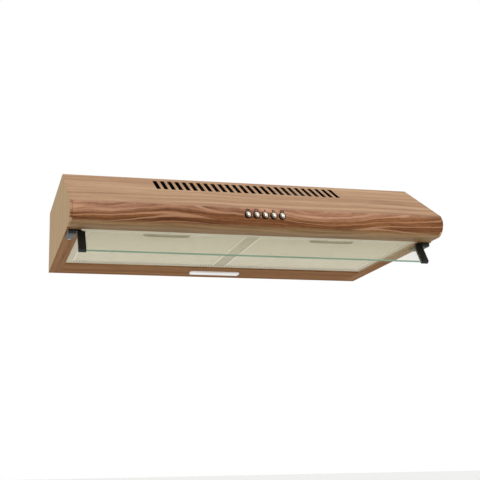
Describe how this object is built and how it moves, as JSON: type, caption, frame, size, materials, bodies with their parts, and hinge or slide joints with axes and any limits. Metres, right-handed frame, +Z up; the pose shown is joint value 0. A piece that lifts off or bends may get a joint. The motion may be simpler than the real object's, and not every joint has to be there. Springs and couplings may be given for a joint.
{
  "type": "under cabinet range hood",
  "caption": "Slim under cabinet range hood with a vented slope, bull-nose front, push buttons, swing-down grease filters, lamp and tilting glass visor.",
  "frame": {"origin": "duct axis on the top panel's outer face, at the centre of the four cabinet screw holes", "axes": "+X to the right seen from the front, +Y to the wall, +Z up"},
  "size_m": [0.7, 0.4935, 0.2066],
  "materials": {
    "slope_film": "wood-grain film, satin",
    "nose_film": "dark wood-grain film, satin",
    "side_film": "pale wood-grain film, satin",
    "rail_film": "wood-grain film, satin",
    "galvanised_steel": "zinc coated",
    "cream_paint": "cream enamel",
    "divider_grey": "grey enamel",
    "filter_aluminium": "satin",
    "filter_mesh": "expanded mesh layers",
    "grey_plastic": "moulded",
    "steel_pin": "turned",
    "spring_steel": "bright wire",
    "visor_glass": "clear with a green edge",
    "black_plastic": "moulded, slightly glossy",
    "lamp_white": "opal",
    "lamp_case": "moulded",
    "board_green": "lacquered board",
    "button_chrome": "bright",
    "blower_plastic": "moulded",
    "motor_steel": "pressed",
    "copper_winding": "enamelled wire",
    "charcoal": "granules in a honeycomb",
    "capacitor_can": "moulded can",
    "zinc_screw": "bright zinc"
  },
  "bodies": {
    "hood": {"top_shell": "slope_film", "front_fascia": "nose_film", "side_panel_left": "side_film", "side_panel_right": "side_film", "rear_bottom_panel": "rail_film", "back_panel": "galvanised_steel", "motor_bracket": "galvanised_steel", "filter_hinge_ears": "galvanised_steel", "terminal_cover": "galvanised_steel", "filter_tray": "cream_paint", "centre_divider": "divider_grey", "duct_collar": "grey_plastic", "visor_pivot_pins": "steel_pin", "flap_pin": "steel_pin", "motor_bearings": "steel_pin", "button_springs": "spring_steel", "visor_washers": "spring_steel", "visor_block_left": "black_plastic", "visor_block_right": "black_plastic", "switch_bank": "black_plastic", "cable_gland": "black_plastic", "terminal_box": "black_plastic", "lamp_lens": "lamp_white", "lamp_housing": "lamp_case", "lamp_driver": "lamp_case", "lamp_board": "board_green", "blower_housing_lower": "blower_plastic", "blower_housing_upper": "blower_plastic", "inlet_grille": "blower_plastic", "motor_case": "motor_steel", "motor_stator": "copper_winding", "charcoal_filter": "charcoal", "capacitor": "capacitor_can", "collar_screws": "zinc_screw", "bracket_screws": "zinc_screw", "visor_block_screws": "zinc_screw"},
    "visor": {"visor_glass": "visor_glass", "visor_arm_left": "black_plastic", "visor_arm_right": "black_plastic"},
    "filter_left": {"filter_frame_left": "filter_aluminium", "filter_mesh_left": "filter_mesh", "filter_handle_left": "grey_plastic", "filter_pins_left": "steel_pin", "latch_spring_left": "spring_steel"},
    "filter_right": {"filter_frame_right": "filter_aluminium", "filter_mesh_right": "filter_mesh", "filter_handle_right": "grey_plastic", "filter_pins_right": "steel_pin", "latch_spring_right": "spring_steel"},
    "latch_left": {"filter_latch_left": "grey_plastic"},
    "latch_right": {"filter_latch_right": "grey_plastic"},
    "fan": {"impeller": "blower_plastic", "motor_rotor": "motor_steel"},
    "front_flap": {"flap_front": "grey_plastic"},
    "rear_flap": {"flap_rear": "grey_plastic"},
    "button_1": {"button_1": "button_chrome"},
    "button_2": {"button_2": "button_chrome"},
    "button_3": {"button_3": "button_chrome"},
    "button_4": {"button_4": "button_chrome"},
    "button_5": {"button_5": "button_chrome"}
  },
  "joints": [
    {"name": "visor_tilt", "type": "hinge", "parent": "hood", "child": "visor", "pos_m": [0, -0.27, -0.1365], "axis": [1, 0, 0], "range_deg": [-45, 30]},
    {"name": "button_1_press", "type": "slide", "parent": "hood", "child": "button_1", "axis": [0, 1, 0], "range_m": [0, 0.003], "stiffness_N_per_m": 600, "springref_m": -0.001, "deforming": ["button_springs"]},
    {"name": "button_2_press", "type": "slide", "parent": "hood", "child": "button_2", "axis": [0, 1, 0], "range_m": [0, 0.003], "stiffness_N_per_m": 600, "springref_m": -0.001},
    {"name": "button_3_press", "type": "slide", "parent": "hood", "child": "button_3", "axis": [0, 1, 0], "range_m": [0, 0.003], "stiffness_N_per_m": 600, "springref_m": -0.001},
    {"name": "button_4_press", "type": "slide", "parent": "hood", "child": "button_4", "axis": [0, 1, 0], "range_m": [0, 0.003], "stiffness_N_per_m": 600, "springref_m": -0.001},
    {"name": "button_5_press", "type": "slide", "parent": "hood", "child": "button_5", "axis": [0, 1, 0], "range_m": [0, 0.003], "stiffness_N_per_m": 600, "springref_m": -0.001},
    {"name": "filter_left_swing", "type": "hinge", "parent": "hood", "child": "filter_left", "pos_m": [0, 0.034, -0.125], "axis": [1, 0, 0], "range_deg": [0, 75]},
    {"name": "latch_left_slide", "type": "slide", "parent": "filter_left", "child": "latch_left", "axis": [0, 1, 0], "range_m": [0, 0.004], "stiffness_N_per_m": 400, "springref_m": -0.002, "deforming": ["latch_spring_left"]},
    {"name": "filter_right_swing", "type": "hinge", "parent": "hood", "child": "filter_right", "pos_m": [0, 0.034, -0.125], "axis": [1, 0, 0], "range_deg": [0, 75]},
    {"name": "latch_right_slide", "type": "slide", "parent": "filter_right", "child": "latch_right", "axis": [0, 1, 0], "range_m": [0, 0.004], "stiffness_N_per_m": 400, "springref_m": -0.002, "deforming": ["latch_spring_right"]},
    {"name": "fan_spin", "type": "hinge", "parent": "hood", "child": "fan", "pos_m": [0.12, -0.055, -0.04], "axis": [0, 0, 1], "continuous": true},
    {"name": "front_flap_swing", "type": "hinge", "parent": "hood", "child": "front_flap", "pos_m": [0, 0, 0.012], "axis": [-1, 0, 0], "range_deg": [0, 70]},
    {"name": "rear_flap_swing", "type": "hinge", "parent": "hood", "child": "rear_flap", "pos_m": [0, 0, 0.012], "axis": [1, 0, 0], "range_deg": [0, 70]}
  ]
}
